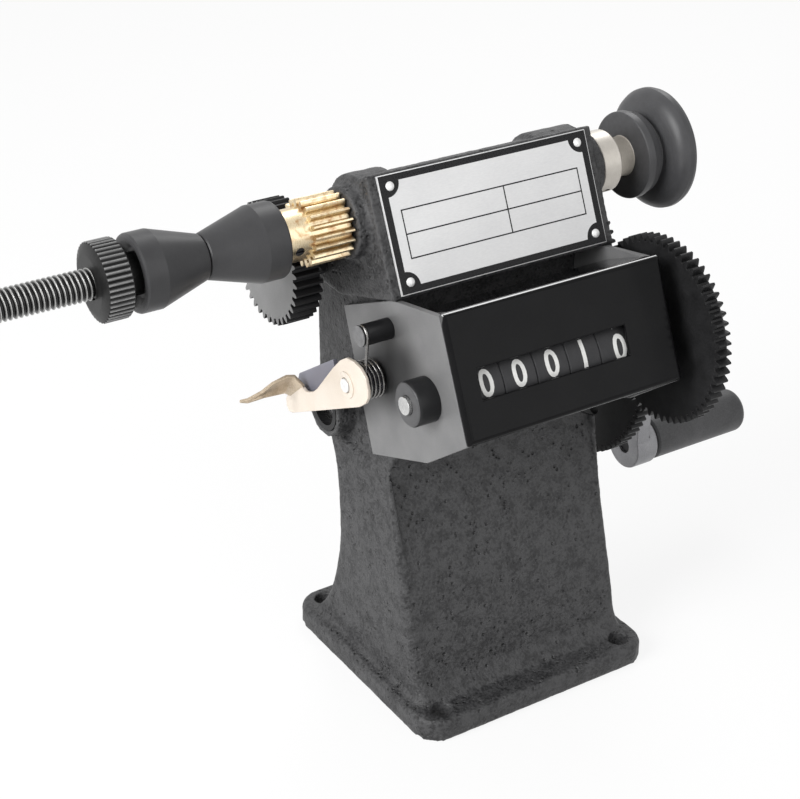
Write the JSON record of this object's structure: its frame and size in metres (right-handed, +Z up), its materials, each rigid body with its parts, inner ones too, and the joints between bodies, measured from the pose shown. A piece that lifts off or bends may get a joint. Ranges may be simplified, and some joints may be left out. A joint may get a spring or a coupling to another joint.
{
  "type": "coil winding machine",
  "caption": "hand-cranked bench winder: geared spindle with clamping cones on a threaded rod, drive pulley, and a mechanical turns counter on a hollow cast stand",
  "frame": {"origin": "centre of the four bolt holes in the base, on the bench", "axes": "+X along the spindle towards the crank, -Y towards the counter's face, +Z up"},
  "size_m": [0.3055, 0.1286, 0.1889],
  "materials": {
    "black_casting": "rough sand-cast surface under thin black paint",
    "bronze_bush": "plain turned bearing bronze",
    "plate_silver": "satin sheet with a black printed border",
    "rivet_white": "bright domed rivets",
    "cover_black": "glossy black enamel",
    "side_plate_grey": "satin grey sheet",
    "bright_steel": "bright turned steel",
    "dark_steel": "blackened steel",
    "spring_wire": "drawn spring wire",
    "lever_nickel": "nickel-plated sheet",
    "gear_black": "black oxide gear",
    "pinion_brass": "aged brass",
    "cone_grey": "satin dark grey",
    "nut_black": "knurled dark grey",
    "pulley_grey": "satin dark grey",
    "wheel_grey": "dark grey moulded wheels",
    "crank_grey": "satin grey metal",
    "handle_grey": "smooth dark grey"
  },
  "bodies": {
    "frame": {"frame_casting": "black_casting", "spindle_bushes": "bronze_bush", "countershaft_bushes": "bronze_bush", "crank_bushes": "bronze_bush", "nameplate": "plate_silver", "nameplate_rivets": "rivet_white", "counter_cover": "cover_black", "side_plate_left": "side_plate_grey", "side_plate_right": "side_plate_grey", "counter_tie_bars": "dark_steel", "side_plate_screws": "bright_steel", "counter_shaft_boss": "side_plate_grey", "spring_stud": "dark_steel", "lever_pin": "bright_steel", "torsion_spring": "spring_wire", "idler_stud": "bright_steel", "idler_clip": "dark_steel", "crank_retaining_screw": "dark_steel"},
    "spindle": {"spindle_shaft": "bright_steel", "brass_pinion": "pinion_brass", "brass_pinion_screw": "dark_steel", "inner_cone": "cone_grey", "spindle_collar": "bright_steel", "spindle_collar_screw": "dark_steel", "pulley": "pulley_grey"},
    "outer_cone": {"outer_cone": "cone_grey"},
    "nut": {"knurled_nut": "nut_black"},
    "countershaft": {"countershaft": "bright_steel", "left_gear": "gear_black", "countershaft_spacer": "bright_steel", "counter_pinion": "bright_steel", "crank_pinion": "bright_steel"},
    "idler": {"idler_gear": "gear_black"},
    "crank": {"crank_shaft": "bright_steel", "crank_gear": "gear_black", "crank_arm": "crank_grey", "crank_cap_screw": "bright_steel", "handle_pin": "bright_steel"},
    "grip": {"handle_grip": "handle_grey"},
    "counter": {"counter_shaft": "bright_steel", "counter_gear": "gear_black", "counter_gear_nut": "bright_steel", "wheel_spacers": "dark_steel", "digit_wheel_5": "wheel_grey"},
    "wheel_1": {"digit_wheel_1": "wheel_grey"},
    "wheel_2": {"digit_wheel_2": "wheel_grey"},
    "wheel_3": {"digit_wheel_3": "wheel_grey"},
    "wheel_4": {"digit_wheel_4": "wheel_grey"},
    "lever": {"reset_lever": "lever_nickel"}
  },
  "joints": [
    {"name": "crank_turn", "type": "hinge", "parent": "frame", "child": "crank", "pos_m": [0.06, 0.01998, 0.09702], "axis": [1, 0, 0], "continuous": true},
    {"name": "grip_spin", "type": "hinge", "parent": "crank", "child": "grip", "pos_m": [0.11, 0.01998, 0.04342], "axis": [1, 0, 0], "continuous": true},
    {"name": "countershaft_spin", "type": "hinge", "parent": "frame", "child": "countershaft", "pos_m": [0, 0.02846, 0.14883], "axis": [1, 0, 0], "continuous": true},
    {"name": "spindle_spin", "type": "hinge", "parent": "frame", "child": "spindle", "pos_m": [0, 0.0065, 0.167], "axis": [1, 0, 0], "continuous": true},
    {"name": "idler_spin", "type": "hinge", "parent": "frame", "child": "idler", "pos_m": [0.049, 0.00949, 0.13768], "axis": [1, 0, 0], "continuous": true},
    {"name": "counter_spin", "type": "hinge", "parent": "frame", "child": "counter", "pos_m": [0, -0.0342, 0.12331], "axis": [1, 0, 0], "continuous": true},
    {"name": "wheel_4_spin", "type": "hinge", "parent": "frame", "child": "wheel_4", "pos_m": [0, -0.0342, 0.12331], "axis": [1, 0, 0], "continuous": true},
    {"name": "wheel_3_spin", "type": "hinge", "parent": "frame", "child": "wheel_3", "pos_m": [0, -0.0342, 0.12331], "axis": [1, 0, 0], "continuous": true},
    {"name": "wheel_2_spin", "type": "hinge", "parent": "frame", "child": "wheel_2", "pos_m": [0, -0.0342, 0.12331], "axis": [1, 0, 0], "continuous": true},
    {"name": "wheel_1_spin", "type": "hinge", "parent": "frame", "child": "wheel_1", "pos_m": [0, -0.0342, 0.12331], "axis": [1, 0, 0], "continuous": true},
    {"name": "cone_slide", "type": "slide", "parent": "spindle", "child": "outer_cone", "axis": [-1, 0, 0], "range_m": [0, 0.016]},
    {"name": "nut_turn", "type": "hinge", "parent": "outer_cone", "child": "nut", "pos_m": [-0.124, 0.0065, 0.167], "axis": [-1, 0, 0], "range_deg": [0, 3600]},
    {"name": "reset_lever", "type": "hinge", "parent": "frame", "child": "lever", "pos_m": [-0.052, -0.00575, 0.11856], "axis": [-1, 0, 0], "range_deg": [0, 20], "stiffness_Nm_per_rad": 0.02, "springref_deg": -28.65}
  ],
  "couplings": [
    {"joint": "countershaft_spin", "follows": "crank_turn", "ratio": -4},
    {"joint": "spindle_spin", "follows": "crank_turn", "ratio": 8},
    {"joint": "idler_spin", "follows": "crank_turn", "ratio": 1.5},
    {"joint": "counter_spin", "follows": "crank_turn", "ratio": -0.8},
    {"joint": "wheel_4_spin", "follows": "crank_turn", "ratio": -0.08},
    {"joint": "wheel_3_spin", "follows": "crank_turn", "ratio": -0.008},
    {"joint": "wheel_2_spin", "follows": "crank_turn", "ratio": -0.0008},
    {"joint": "wheel_1_spin", "follows": "crank_turn", "ratio": -0.00008},
    {"joint": "cone_slide", "follows": "nut_turn", "m_per_rad": 0.00025266}
  ]
}
